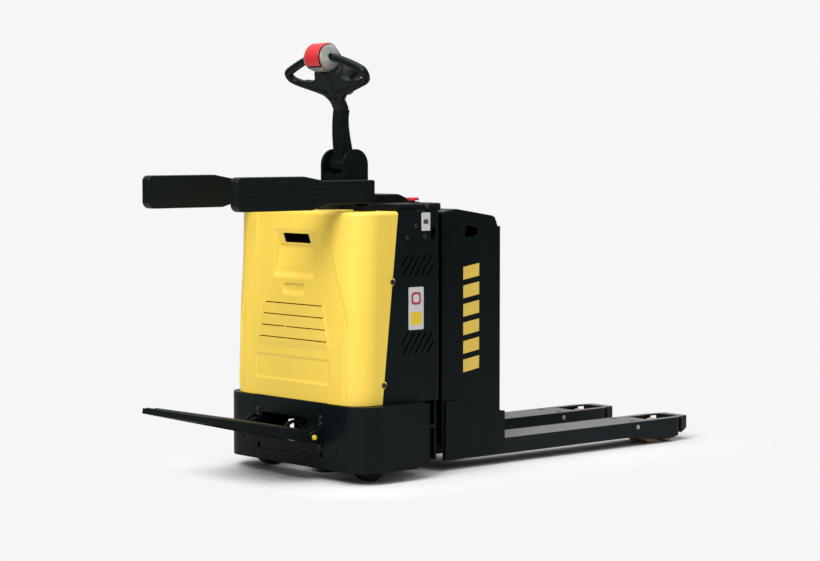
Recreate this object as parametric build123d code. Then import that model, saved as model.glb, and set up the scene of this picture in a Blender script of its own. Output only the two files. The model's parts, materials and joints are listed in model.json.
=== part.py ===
from build123d import *
import os
from math import atan2, cos, degrees, hypot, radians, sin

# Ride-on electric pallet truck.
# Lengths are millimetres. While parts are built, x runs from the face of the front plate towards the
# fork tips, y from the centreline to the truck's left and z up from the floor. Every part is shifted
# along x on export, so that the origin ends at the middle of the truck's outline on the floor.

# forks
FORK_SPREAD = 570.0
FORK_WIDTH = 163.0
FORK_TOP = 95.5
FORK_BOTTOM = 37.0
FORK_ROOT_X = 480.0
FORK_TIP_X = 1822.0
FORK_FACE_X = 764.0
FORK_ROOT_DROP = 0.5
FORK_WALL = 6.0
FORK_Y = (FORK_SPREAD - FORK_WIDTH) / 2
WELL_X = (1585.0, 1765.0)
WELL_HALF = 52.0
GUIDE_X = (820.0, 1380.0)

# lift and load rollers
LIFT_STROKE = 110.0
LEVER_PIN = (1500.0, 74.4)
BOGIE_X = 1658.0
ROLLER_RADIUS = 42.0
ROLLER_HALF_WIDTH = 50.0
ROLLER_PITCH = 92.0
PIN_RADIUS = 9.0
AXLE_RADIUS = 8.0
FIT = 0.06

# front skirt and power unit
SKIRT_HALF = 395.0
SKIRT_CORNER = 98.0
SKIRT_Z = (43.0, 273.0)
SKIRT_REAR_X = 300.0
SKIRT_STEEL = 8.0
SEAM_Y = 205.0
PLATE_TOP = 276.0
BODY_HALF = 358.0
BODY_REAR_X = 398.0
STOP_PLACE = (362.0, -252.0)
KEY_PLACE = (290.0, 120.0)
GAUGE_X = (262.0, 318.0)
SCREW_HEIGHTS = (700.0, 342.0)
GRIP_HALF = 70.0
GRIP_Z = (830.0, 862.0)
GRIP_DEPTH_X = 64.0
LOUVRE_TOP = 612.0
LOUVRE_FALL = 124.0
BODY_Z = (274.0, 944.0)
COVER_FRONT_X = 14.0
COVER_CORNER = 90.0
COVER_WALL = 4.0
COVER_ROOF = 7.0
DECK_Z = (300.0, 312.0)
REAR_WALL_X = (384.0, 392.0)
SEAM_LOW_X = 130.0
SEAM_HIGH_X = 203.0

# steering and drive
STEER_X = 185.0
DRIVE_RADIUS = 115.0
DRIVE_HALF_WIDTH = 38.0
SLEW_RADIUS = 95.0
COLUMN_RADIUS = 22.0

# castors
CASTOR_Y = 277.0
CASTOR_WHEEL_X = 135.0
CASTOR_SWIVEL_X = 165.0
CASTOR_RADIUS = 62.5
CASTOR_HALF_WIDTH = 25.0
SHELF_Z = (172.0, 184.0)

# tiller
TILLER_PIVOT = (255.0, 1103.0)
BRACKET_RADIUS = 56.0
BRACKET_BASE = (1012.0, 1026.0)
CHEEK_Y = (54.0, 66.0)
HEAD_ROOT = (242.0, 1300.0)
HEAD_LEAN = 25.0
HEAD_HALF_THICK = 15.0
HANDLE_HALF = 226.0
HUB = (-4.0, 205.0)
HUB_RADIUS = 45.0
HUB_CORE_RADIUS = 40.0
HUB_SLEEVE_RADIUS = 16.0
HUB_SHAFT_RADIUS = 12.0
WING_Y = (41.0, 62.0)
BELLY_RADIUS = 51.0
BUTTON_RADIUS = 7.5
BUTTON_PLACES = {"horn_button": (0, 128), "lift_button": (-32, 112), "lower_button": (32, 112)}

# side arms
ARM_Y = (236.0, 278.0)
ARM_PIVOT = (140.0, 1013.0)
ARM_FRONT_X = -433.0
ARM_GROOVES = (984, 1003, 1021, 1040)
POST_X = (114.0, 167.0)
POST_INNER_Y = ARM_Y[0] - 16

# operator platform
DECK_HINGE = (-45.0, 160.0)
DECK_TILT = 10.8
DECK_LENGTH = 480.0
DECK_HALF = 200.0
DECK_EDGE_DROP = 1.0
DECK_CUT_X = 55.0
DECK_CUT_Y = 35.0
DECK_FINGER_Y = (148.0, -83.0)

# battery carriage
CARRIAGE_X = (472.0, 758.0)
CARRIAGE_HALF = 285.0
CARRIAGE_STEEL = 6.0
LID_HINGE = (744.0, 884.0)

PLATFORM_END = DECK_HINGE[0] - DECK_LENGTH * cos(radians(DECK_TILT))
PLATFORM_END -= DECK_EDGE_DROP * sin(radians(DECK_TILT))
MIDDLE_X = (FORK_TIP_X + PLATFORM_END) / 2

os.makedirs("parts", exist_ok=True)


def emit(name, *solids):
    """Write one node, shifted so that the origin lies under the middle of the truck."""
    pieces = []
    for item in solids:
        pieces += list(item.solids())
    moved = [Pos(-MIDDLE_X, 0, 0) * piece for piece in pieces]
    shape = moved[0] if len(moved) == 1 else Compound(children=moved)
    export_step(shape, "parts/" + name + ".step")


def block(x, y, z):
    """A box from its low and high value along each axis."""
    middle = Pos((x[0] + x[1]) / 2, (y[0] + y[1]) / 2, (z[0] + z[1]) / 2)
    return middle * Box(x[1] - x[0], y[1] - y[0], z[1] - z[0])


def rod_x(y, z, radius, x):
    return Pos((x[0] + x[1]) / 2, y, z) * Rot(0, 90, 0) * Cylinder(radius, x[1] - x[0])


def rod_y(x, z, radius, y):
    return Pos(x, (y[0] + y[1]) / 2, z) * Rot(90, 0, 0) * Cylinder(radius, y[1] - y[0])


def rod_z(x, y, radius, z):
    return Pos(x, y, (z[0] + z[1]) / 2) * Cylinder(radius, z[1] - z[0])


def outline(points, radius):
    """A closed polygon, with its corners rounded where a radius is given."""
    if radius:
        return FilletPolyline(*points, radius=radius, close=True)
    return Polyline(*points, close=True)


def side_profile(points, y, radius=0):
    """Extrude an (x, z) outline from y[0] to y[1]."""
    wire = outline([(x, y[0], z) for x, z in points], radius)
    return Solid.extrude(make_face(wire).face(), Vector(0, y[1] - y[0], 0))


def plan_profile(points, z, radius=0):
    """Extrude an (x, y) outline from z[0] to z[1]."""
    wire = outline([(x, y, z[0]) for x, y in points], radius)
    return Solid.extrude(make_face(wire).face(), Vector(0, 0, z[1] - z[0]))


def front_profile(points, x, radius=0):
    """Extrude a (y, z) outline from x[0] to x[1]."""
    wire = outline([(x[0], y, z) for y, z in points], radius)
    return Solid.extrude(make_face(wire).face(), Vector(x[1] - x[0], 0, 0))


def rectangle(u, v):
    return [(u[0], v[0]), (u[1], v[0]), (u[1], v[1]), (u[0], v[1])]


def other_side(part):
    return mirror(part, about=Plane.XZ)


def span(y, side):
    """A range of y on the left (side 1) or mirrored to the right (side -1)."""
    return (y[0], y[1]) if side > 0 else (-y[1], -y[0])


def turned_about(part, pivot, angle):
    """Turn a part about the Y direction through pivot, lifting its -X end for a positive angle."""
    return Pos(pivot[0], 0, pivot[1]) * Rot(0, angle, 0) * Pos(-pivot[0], 0, -pivot[1]) * part


def seam_x(z):
    """The leaning joint between the motor cover and a side panel."""
    share = (z - BODY_Z[0]) / (BODY_Z[1] - BODY_Z[0])
    return SEAM_LOW_X + share * (SEAM_HIGH_X - SEAM_LOW_X)


# ---------------------------------------------------------------- power unit structure

def body_outline(half, front, corner, rear, z):
    """A plan with two rounded front corners, as tall as z."""
    points = [(rear, -half), (front, -half), (front, half), (rear, half)]
    body = plan_profile(points, z)
    upright = body.edges().filter_by(Axis.Z).sort_by(Axis.X)[:2]
    return fillet(upright, corner)


def chassis_frame():
    gap = COVER_WALL + 2
    frame = body_outline(BODY_HALF - gap, COVER_FRONT_X + gap, COVER_CORNER - gap, REAR_WALL_X[0], DECK_Z)
    frame += block(REAR_WALL_X, (-344, 344), (60, 930))
    for side in (1, -1):
        frame += block((48, REAR_WALL_X[0]), span((192, 200), side), (SHELF_Z[0], DECK_Z[0]))
        frame += block((SKIRT_STEEL, 48), span((192, 200), side), (SHELF_Z[0], 250))
        frame += block((100, 250), span((200, SKIRT_HALF - SKIRT_STEEL), side), SHELF_Z)
        frame += block((100, 352), span((350, 356), side), (SHELF_Z[0], 262))
        frame += block((SKIRT_REAR_X, 352), span((350, 356), side), (45, SHELF_Z[0]))
        frame += block((352, REAR_WALL_X[0]), span((200, 344), side), SHELF_Z)
        frame -= rod_z(CASTOR_SWIVEL_X, side * CASTOR_Y, 12 + FIT, (160, 190))
    frame -= rod_z(STEER_X, 0, SLEW_RADIUS + 5, (290, 320))
    return frame


def skirt(side):
    outer = body_outline(SKIRT_HALF, 0.0, SKIRT_CORNER, SKIRT_REAR_X, SKIRT_Z)
    inner = body_outline(SKIRT_HALF - SKIRT_STEEL, SKIRT_STEEL, SKIRT_CORNER - SKIRT_STEEL,
                         SKIRT_REAR_X + 10, (SKIRT_Z[0] - 5, SKIRT_Z[1] + 5))
    ledge = body_outline(SKIRT_HALF, 0.0, SKIRT_CORNER, SKIRT_REAR_X, (SKIRT_Z[1] - 7, SKIRT_Z[1]))
    ledge -= body_outline(BODY_HALF - 10, 44, COVER_CORNER - 14, SKIRT_REAR_X + 10, (200, 300))
    wall = outer - inner + ledge
    wall = wall & block((-10, SKIRT_REAR_X + 10), (SEAM_Y + 1, SKIRT_HALF + 10), (0, 400))
    lower_corner = side_profile([(SKIRT_REAR_X - 45, 20), (SKIRT_REAR_X + 20, 20), (SKIRT_REAR_X + 20, 85),
                                 (SKIRT_REAR_X, 85), (SKIRT_REAR_X - 18, SKIRT_Z[0] + 8),
                                 (SKIRT_REAR_X - 45, SKIRT_Z[0])], (SEAM_Y, SKIRT_HALF + 10))
    wall -= lower_corner
    wall -= rod_x(267, 118, 5, (-5, 15))
    return wall if side > 0 else other_side(wall)


def front_plate():
    plate = block((0, SKIRT_STEEL), (-SEAM_Y, SEAM_Y), (SKIRT_Z[0], PLATE_TOP))
    plate += block((SKIRT_STEEL, 44), (-SEAM_Y, SEAM_Y), (SKIRT_Z[1] - 7, SKIRT_Z[1]))
    plate -= front_profile(rectangle((-100, 160), (126, 216)), (-5, 15), 8)
    for y in (-179, 179):
        plate -= front_profile(rectangle((y - 8, y + 8), (82, 105)), (-5, 15), 7.5)
    for y in (-71, -94):
        plate -= rod_x(y, 91, 3, (-5, 15))
    return plate


def front_bolts():
    places = [(y, z) for y in (-178, 178) for z in (202, 224)] + [(-176, 118)]
    bolts = []
    for y, z in places:
        head = rod_x(y, z, 9, (-7, 0))
        head = fillet(head.edges().sort_by(Axis.X)[:1], 2)
        head -= rod_x(y, z, 4, (-8, -4))
        bolts.append(head)
    return bolts


def platform_lugs():
    x, z = DECK_HINGE
    lugs = []
    for side in (1, -1):
        y = span((184, 196), side)
        lug = side_profile([(0, z - 30), (0, z + 30), (x, z + 20), (x, z - 20)], y)
        lug += rod_y(x, z, 20, y)
        lug -= rod_y(x, z, PIN_RADIUS, (y[0] - 5, y[1] + 5))
        lugs.append(lug)
    return lugs


def platform_pin():
    pin = rod_y(DECK_HINGE[0], DECK_HINGE[1], PIN_RADIUS, (-203, 203))
    return chamfer(pin.edges().filter_by(GeomType.CIRCLE), 1.5)


def motor_cover():
    outer = body_outline(BODY_HALF, COVER_FRONT_X, COVER_CORNER, 260, BODY_Z)
    outer = fillet(outer.edges().group_by(Axis.Z)[-1].filter_by(lambda e: e.center().X < 255), 14)
    inner = body_outline(BODY_HALF - COVER_WALL, COVER_FRONT_X + COVER_WALL, COVER_CORNER - COVER_WALL,
                         270, (BODY_Z[0] - 5, BODY_Z[1] - COVER_ROOF))
    shell = outer - inner
    keep = side_profile([(0, BODY_Z[0]), (seam_x(BODY_Z[0]) - 1, BODY_Z[0]),
                         (seam_x(BODY_Z[1]) - 1, BODY_Z[1]), (0, BODY_Z[1])], (-400, 400))
    shell = shell & keep
    shell -= rod_z(STEER_X, 0, 60, (930, 960))
    for side in (1, -1):
        shell -= block((113, 168), span((ARM_Y[0] - 20, ARM_Y[1] + 1), side), (930, 960))
    cup = front_profile(rectangle((-GRIP_HALF - 3, GRIP_HALF + 3), (GRIP_Z[0] - 3, GRIP_Z[1] + 3)),
                        (COVER_FRONT_X + 2, GRIP_DEPTH_X + 3), 7)
    shell += cup
    shell -= front_profile(rectangle((-GRIP_HALF, GRIP_HALF), GRIP_Z), (0, GRIP_DEPTH_X), 5)
    for row in range(4):
        share = row / 3
        half = 162 + 32 * share
        z = LOUVRE_TOP - LOUVRE_FALL * share
        shell -= block((0, 60), (-half, half), (z - 2.5, z + 2.5))
    for z in SCREW_HEIGHTS:
        x = seam_x(z) - 2
        for side in (1, -1):
            shell += rod_y(x, z, 14, span((BODY_HALF - COVER_WALL, BODY_HALF), side))
    return shell


def side_panel(side):
    inner_y = BODY_HALF - COVER_WALL
    outer = block((100, BODY_REAR_X), (290, BODY_HALF), BODY_Z)
    outer = fillet(outer.edges().filter_by(Axis.Z).sort_by(lambda e: e.center().X + e.center().Y)[-1:], 16)
    hollow = block((90, BODY_REAR_X - COVER_WALL), (280, inner_y), (BODY_Z[0] - 5, BODY_Z[1] + 5))
    hollow = fillet(hollow.edges().filter_by(Axis.Z).sort_by(lambda e: e.center().X + e.center().Y)[-1:], 12)
    panel = outer - hollow
    panel -= side_profile([(0, 200), (seam_x(200) + 1, 200), (seam_x(1000) + 1, 1000), (0, 1000)], (270, 400))
    for z in SCREW_HEIGHTS:
        panel -= rod_y(seam_x(z) - 2, z, 15, (inner_y - 5, BODY_HALF + 5))
    for z in (717, 444):
        window = block((218, 366), (inner_y - 5, BODY_HALF + 5), (z, z + 74))
        for number in range(6):
            x = 222 + 28.5 * number
            slot = Pos(x, BODY_HALF, z + 37) * Rot(0, 35, 0) * Box(7.5, 30, 130)
            panel -= slot & window
    panel -= Pos(366, BODY_HALF, 865) * Rot(90, 0, 0) * extrude(SlotOverall(46, 22, rotation=90), 12, both=True)
    return panel if side > 0 else other_side(panel)


def panel_bolts():
    bolts = []
    for side in (1, -1):
        screws = [(282, 892, 8), (242, 852, 8), (324, 853, 8)]
        screws += [(seam_x(z) - 2, z, 9) for z in SCREW_HEIGHTS]
        for x, z, radius in screws:
            head = rod_y(x, z, radius, (BODY_HALF, BODY_HALF + 5))
            head = fillet(head.edges().sort_by(Axis.Y)[-1:], 1.5)
            head -= rod_y(x, z, 3.5, (BODY_HALF + 2.5, BODY_HALF + 6))
            bolts.append(head if side > 0 else other_side(head))
    return bolts


def top_cover():
    tier = block((206, 428), (-345, 345), (BODY_Z[1], 970))
    tier = fillet(tier.edges().filter_by(Axis.Z).sort_by(Axis.X)[-2:], 30)
    tier = fillet(tier.edges().group_by(Axis.Z)[-1], 8)
    console = side_profile([(234, 960), (234, 1000), (335, 1000), (396, 976), (396, 960)], (-205, 205))
    console = fillet(console.edges().group_by(Axis.Z)[-1], 5)
    collar = rod_z(STEER_X, 0, 58, (BODY_Z[1] - 8, 966))
    cover = tier + console + collar + block((STEER_X, 215), (-58, 58), (BODY_Z[1], 966))
    hollow = block((211, 423), (-340, 340), (BODY_Z[1] - 5, 965))
    cover -= hollow - block((200, 225), (-60, 60), (900, 990))
    cover -= side_profile([(239, 960), (239, 995), (333, 995), (391, 972), (391, 960)], (-200, 200))
    cover -= rod_z(STEER_X, 0, COLUMN_RADIUS + 4, (900, 1010))
    cover -= rod_z(*STOP_PLACE, 15, (950, 980))
    cover -= rod_z(*KEY_PLACE, 11.5, (980, 1010))
    return cover


def dash_gauge():
    bezel = block(GAUGE_X, (-45, 45), (1000, 1004))
    bezel = fillet(bezel.edges().filter_by(Axis.Z), 6)
    return bezel - block((GAUGE_X[0] + 8, GAUGE_X[1] - 8), (-36, 36), (1002, 1006))


def key_lock():
    body = rod_z(*KEY_PLACE, 11.5, (968, 1000)) + rod_z(*KEY_PLACE, 15, (1000, 1004))
    return body - rod_z(*KEY_PLACE, 6, (985, 1010))


def key():
    x, y = KEY_PLACE
    stem = rod_z(x, y, 5.5, (986, 1008))
    bow = block((x - 11, x + 11), (y - 2, y + 2), (1008, 1034))
    bow = fillet(bow.edges().filter_by(Axis.Y), 5)
    return stem + bow - rod_y(x, 1026, 3, (y - 5, y + 5))


def stop_base():
    x, y = STOP_PLACE
    return rod_z(x, y, 15, (935, 970)) + rod_z(x, y, 24, (970, 973)) - rod_z(x, y, 9, (945, 980))


def stop_button():
    x, y = STOP_PLACE
    cap = rod_z(x, y, 21, (978, 988))
    cap = fillet(cap.edges().group_by(Axis.Z)[-1], 4)
    return cap + rod_z(x, y, 8.5, (952, 978))


def arm_posts():
    posts = []
    x, z = ARM_PIVOT
    for side in (1, -1):
        post = block(POST_X, span(ARM_Y, side), (DECK_Z[1], 962))
        plate = side_profile([(114, 900), (167, 900), (167, 1030), (155, 1042), (126, 1042), (114, 1030)],
                             span((POST_INNER_Y, ARM_Y[0] - 0.5), side))
        post += plate + block(POST_X, span((POST_INNER_Y, ARM_Y[0] + 2), side), (900, 962))
        post += rod_y(x, z, PIN_RADIUS, span((POST_INNER_Y + 2, ARM_Y[1] - 6), side))
        posts.append(post)
    return posts


def mast_rails():
    rails = []
    for side in (1, -1):
        web = block((392, 430), span((184, 190), side), (80, 900))
        near = block((392, 397), span((150, 184), side), (80, 900))
        far = block((425, 430), span((150, 184), side), (80, 900))
        rails.append(web + near + far)
    return rails


def lift_cylinder():
    barrel = rod_z(425, 0, 28, (110, 560)) - rod_z(425, 0, 14.08, (420, 570))
    foot = block((392, 453), (-28, 28), (96, 110))
    strap = block((392, 425), (-34, 34), (480, 500)) - rod_z(425, 0, 27, (470, 510))
    return barrel + foot + strap


def pump_unit():
    tank = block((200, 360), (215, 335), (DECK_Z[1], 470))
    tank = fillet(tank.edges().filter_by(Axis.Z), 12)
    motor = rod_z(280, 275, 50, (470, 640)) + rod_z(280, 275, 40, (640, 652))
    return tank + motor


def slew_ring():
    ring = rod_z(STEER_X, 0, 128, (284, DECK_Z[0])) - rod_z(STEER_X, 0, SLEW_RADIUS, (280, 305))
    return ring


# ---------------------------------------------------------------- battery carriage and forks

def carriage_frame():
    low, high = CARRIAGE_X
    inner = CARRIAGE_HALF - CARRIAGE_STEEL
    frame = block((low, low + 8), (-inner, inner), (96, 890))
    frame += block((low, high), (-inner, inner), (96, 104))
    top = [(low, 96), (high, 96), (high, 877), (745, 878), (737, 898), (730, 912), (549, 940), (low, 930)]
    for side in (1, -1):
        plate = side_profile(top, span((inner, CARRIAGE_HALF), side))
        y = span((inner - 5, CARRIAGE_HALF + 5), side)
        plate -= side_profile([(583, 842), (590, 884), (618, 880), (648, 868), (646, 850), (618, 842)], y, 6)
        for x in (569, 720):
            for z in (794, 832):
                plate -= rod_y(x, z, 4, y)
        plate -= rod_y(525, 918, 4, y)
        frame += plate
    frame += block((750, high), (-inner, inner), (104, 877))
    frame += block((400, low), (-30, 30), (700, 716))
    frame += block((440, low), (-30, 30), (680, 700))
    return frame


def boss_plate(side):
    points = [(484, 42), (716, 42), (777, 80), (777, 198), (735, 204), (640, 232), (545, 253), (484, 250)]
    plate = side_profile(points, (CARRIAGE_HALF, CARRIAGE_HALF + 8))
    plate -= rod_y(640, 40, 11, (CARRIAGE_HALF - 5, CARRIAGE_HALF + 15))
    return plate if side > 0 else other_side(plate)


def battery():
    case = block((484, 746), (-272, 272), (104, 760))
    case = fillet(case.edges().filter_by(Axis.Z), 6)
    for column in range(3):
        for row in range(6):
            x = 528 + 87 * column
            y = -225 + 90 * row
            case += rod_z(x, y, 16, (760, 772))
    return case


def guide_shoes():
    shoes = []
    for side in (1, -1):
        for z in ((150, 200), (700, 750)):
            shoe = block((397.6, 424.4), span((125, 183.4), side), z)
            shoe += block((424.4, CARRIAGE_X[0]), span((125, 149.4), side), z)
            shoes.append(shoe)
    return shoes


def lift_ram():
    return rod_z(425, 0, 14, (430, 700))


def battery_lid():
    half = CARRIAGE_HALF - CARRIAGE_STEEL - 2
    outer = [(476, 898), (476, 934), (549, 944), (728, 916), (742, 894), (742, 884), (742, 870)]
    inner = [(480, 890), (480, 930), (549, 940), (725, 912), (738, 892), (738, 884), (738, 860)]
    lid = side_profile(outer, (-half, half)) - side_profile(inner, (-half + 4, half - 4))
    lid += rod_y(*LID_HINGE, 4, (-half + 20, half - 20))
    return lid


def fork(side):
    half = FORK_WIDTH / 2
    under = [(FORK_ROOT_X, FORK_BOTTOM), (1463, FORK_BOTTOM), (1545, 24), (1610, 16), (1690, 16)]
    nose = [(1740, 23), (1788, 38), (FORK_TIP_X, 52),
            (FORK_TIP_X, 86), (1806, FORK_TOP), (FORK_ROOT_X, FORK_TOP)]
    blade = side_profile(under + nose, (-half, half))
    blade -= block((FORK_ROOT_X - 5, FORK_FACE_X), (-half - 5, half + 5),
                   (FORK_TOP - FORK_ROOT_DROP, FORK_TOP + 5))
    taper = plan_profile([(FORK_ROOT_X, -half), (1718, -half), (1806, -half + 24), (FORK_TIP_X, -half + 42),
                          (FORK_TIP_X, half - 42), (1806, half - 24), (1718, half), (FORK_ROOT_X, half)], (0, 100))
    blade = blade & taper
    inside = half - FORK_WALL
    channel = block((FORK_ROOT_X - 5, WELL_X[1]), (-inside, inside), (0, FORK_TOP - FORK_WALL))
    well = block(WELL_X, (-WELL_HALF, WELL_HALF), (60, 110))
    well = chamfer(well.edges().filter_by(Axis.Z).sort_by(Axis.X)[-2:], 14)
    blade = blade - channel - well
    for x in GUIDE_X:
        web = block((x, x + 8), (-inside, inside), (FORK_BOTTOM + 3, FORK_TOP - FORK_WALL))
        blade += web - rod_x(0, 62, PIN_RADIUS + FIT, (x - 5, x + 15))
    for y in (-51, 51):
        blade -= block((1485, 1515), (y - 7, y + 7), (80, 110))
    blade -= rod_y(*LEVER_PIN, PIN_RADIUS, (-half - 5, half + 5))
    return Pos(0, side * FORK_Y, 0) * blade


def lever_pins():
    half = FORK_WIDTH / 2
    pin = rod_y(*LEVER_PIN, PIN_RADIUS, (-half - 2, half + 2))
    pin = chamfer(pin.edges().filter_by(GeomType.CIRCLE), 1.2)
    return [Pos(0, side * FORK_Y, 0) * pin for side in (1, -1)]


def push_rod(side):
    rod = rod_x(side * FORK_Y, 62, PIN_RADIUS, (790, 1430))
    eye = block((1400, 1448), (side * FORK_Y - 14, side * FORK_Y + 14), (50, 74))
    return rod + fillet(eye.edges().filter_by(Axis.Y), 6)


def lever(side):
    x, z = LEVER_PIN
    drop = atan2(z - ROLLER_RADIUS, BOGIE_X - x)
    reach = hypot(z - ROLLER_RADIUS, BOGIE_X - x)
    lay = Pos(x, 0, z) * Rot(0, degrees(drop), 0)
    bar = None
    for y in ((58, 66), (-66, -58)):
        plate = block((0, reach), y, (-11, 11)) + rod_y(reach, 0, 11, y)
        stub = (51, 60) if y[0] > 0 else (-60, -51)
        plate += rod_y(reach, 0, PIN_RADIUS, stub)
        bar = plate if bar is None else bar + plate
    bar += rod_y(0, 0, 14, (-66, 66))
    bar -= rod_y(0, 0, PIN_RADIUS + FIT, (-80, 80))
    return Pos(0, side * FORK_Y, 0) * lay * bar


def bogie(side):
    ends = (BOGIE_X - ROLLER_PITCH / 2, BOGIE_X + ROLLER_PITCH / 2)
    frame = None
    for y in ((51.3, 57.3), (-57.3, -51.3)):
        plate = block(ends, y, (ROLLER_RADIUS - 14, ROLLER_RADIUS + 14))
        for x in ends:
            plate += rod_y(x, ROLLER_RADIUS, 14, y)
        frame = plate if frame is None else frame + plate
    for x in ends:
        frame += rod_y(x, ROLLER_RADIUS, AXLE_RADIUS, (-56, 56))
    frame -= rod_y(BOGIE_X, ROLLER_RADIUS, PIN_RADIUS + FIT, (50, 70))
    frame -= rod_y(BOGIE_X, ROLLER_RADIUS, PIN_RADIUS + FIT, (-70, -50))
    return Pos(0, side * FORK_Y, 0) * frame


def roller(side, end):
    x = BOGIE_X + end * ROLLER_PITCH / 2
    wheel = rod_y(x, ROLLER_RADIUS, ROLLER_RADIUS, (-ROLLER_HALF_WIDTH, ROLLER_HALF_WIDTH))
    wheel = fillet(wheel.edges().filter_by(GeomType.CIRCLE), 4)
    wheel -= rod_y(x, ROLLER_RADIUS, AXLE_RADIUS + FIT, (-60, 60))
    return Pos(0, side * FORK_Y, 0) * wheel


# ---------------------------------------------------------------- castors and drive

def castor_fork(side):
    yoke = rod_z(CASTOR_SWIVEL_X, 0, 12, (138, 184))
    yoke += rod_z(CASTOR_SWIVEL_X, 0, 34, (134, 150))
    for y in ((28, 34), (-34, -28)):
        yoke += side_profile([(119, 50), (151, 50), (196, 136), (186, 146), (142, 146)], y, 6)
    yoke += block((142, 188), (-34, 34), (132, 144))
    yoke += rod_y(CASTOR_WHEEL_X, CASTOR_RADIUS, AXLE_RADIUS, (-38, 38))
    return Pos(0, side * CASTOR_Y, 0) * yoke


def castor_wheel(side):
    wheel = rod_y(CASTOR_WHEEL_X, CASTOR_RADIUS, CASTOR_RADIUS, (-CASTOR_HALF_WIDTH, CASTOR_HALF_WIDTH))
    wheel = fillet(wheel.edges().filter_by(GeomType.CIRCLE), 6)
    wheel -= rod_y(CASTOR_WHEEL_X, CASTOR_RADIUS, AXLE_RADIUS + FIT, (-40, 40))
    for y in ((15, 30), (-30, -15)):
        ring = rod_y(CASTOR_WHEEL_X, CASTOR_RADIUS, 40, y) - rod_y(CASTOR_WHEEL_X, CASTOR_RADIUS, 18, y)
        wheel -= ring
    return Pos(0, side * CASTOR_Y, 0) * wheel


def drive_gearbox():
    case = rod_z(STEER_X, 0, SLEW_RADIUS - 0.5, (262, 298))
    leg = block((STEER_X - 62, STEER_X + 62), (44, 108), (100, 262)) + rod_y(STEER_X, 115, 62, (44, 108))
    leg = leg + block((STEER_X - 40, STEER_X + 40), (-40, 46), (246, 264))
    axle = rod_y(STEER_X, DRIVE_RADIUS, 20, (-DRIVE_HALF_WIDTH - 8, 46))
    return case + leg + axle


def drive_wheel():
    width = (-DRIVE_HALF_WIDTH, DRIVE_HALF_WIDTH)
    wheel = rod_y(STEER_X, DRIVE_RADIUS, DRIVE_RADIUS, width)
    wheel = fillet(wheel.edges().filter_by(GeomType.CIRCLE), 6)
    dish = rod_y(STEER_X, DRIVE_RADIUS, 84, (-45, -22)) - rod_y(STEER_X, DRIVE_RADIUS, 34, (-46, -21))
    return wheel - dish - rod_y(STEER_X, DRIVE_RADIUS, 20 + FIT, (-60, 60))


def drive_motor():
    motor = rod_z(STEER_X, 0, 76, (298, 470)) + rod_z(STEER_X, 0, 62, (470, 500))
    for level in range(6):
        z = 320 + 24 * level
        motor -= rod_z(STEER_X, 0, 80, (z, z + 8)) - rod_z(STEER_X, 0, 72, (z - 1, z + 9))
    return motor


# ---------------------------------------------------------------- tiller

def tiller_bracket():
    x, z = TILLER_PIVOT
    base = block((162, 311), (-54, 54), BRACKET_BASE)
    base = fillet(base.edges().filter_by(Axis.Z).sort_by(Axis.X)[:2], 20)
    bracket = rod_z(STEER_X, 0, COLUMN_RADIUS, (500, BRACKET_BASE[0])) + base
    for side in (1, -1):
        y = span(CHEEK_Y, side)
        cheek = block((x - BRACKET_RADIUS, x + BRACKET_RADIUS), y, (BRACKET_BASE[0], z))
        cheek += rod_y(x, z, BRACKET_RADIUS, y)
        bracket += cheek
    bracket += block((204, 212), (-CHEEK_Y[0], CHEEK_Y[0]), (1050, 1074))
    bracket -= block((200, 216), (-12, 12), (1064, 1080))
    pin_hole = rod_y(x, z, 14, (-80, 80))
    pin = rod_y(x, z, 14, (-69, 69))
    return [bracket - pin_hole, pin]


def tiller_arm():
    x, z = TILLER_PIVOT
    root_x, root_z = HEAD_ROOT
    front = Spline((x - 27, 0, z + 12), (x - 34, 0, z + 57), (x - 38, 0, z + 142), (root_x - 20, 0, root_z))
    back = Spline((root_x + 20, 0, root_z), (x + 3, 0, z + 142), (x + 12, 0, z + 88), (x + 27, 0, z + 12))
    top = Line(front @ 1, back @ 0)
    foot = Line(back @ 1, front @ 0)
    face = make_face(Wire([front.edge(), top.edge(), back.edge(), foot.edge()])).face()
    bar = Pos(0, -23, 0) * Solid.extrude(face, Vector(0, 46, 0))
    bar += rod_y(x, z, 30, (-50, 50))
    return bar - rod_y(x, z, 14 + FIT, (-80, 80))


def on_head(part):
    """Place a part modelled on the flat head: x forward of the head, y across and z up the head."""
    return Pos(HEAD_ROOT[0], 0, HEAD_ROOT[1]) * Rot(0, -HEAD_LEAN, 0) * part


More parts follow.
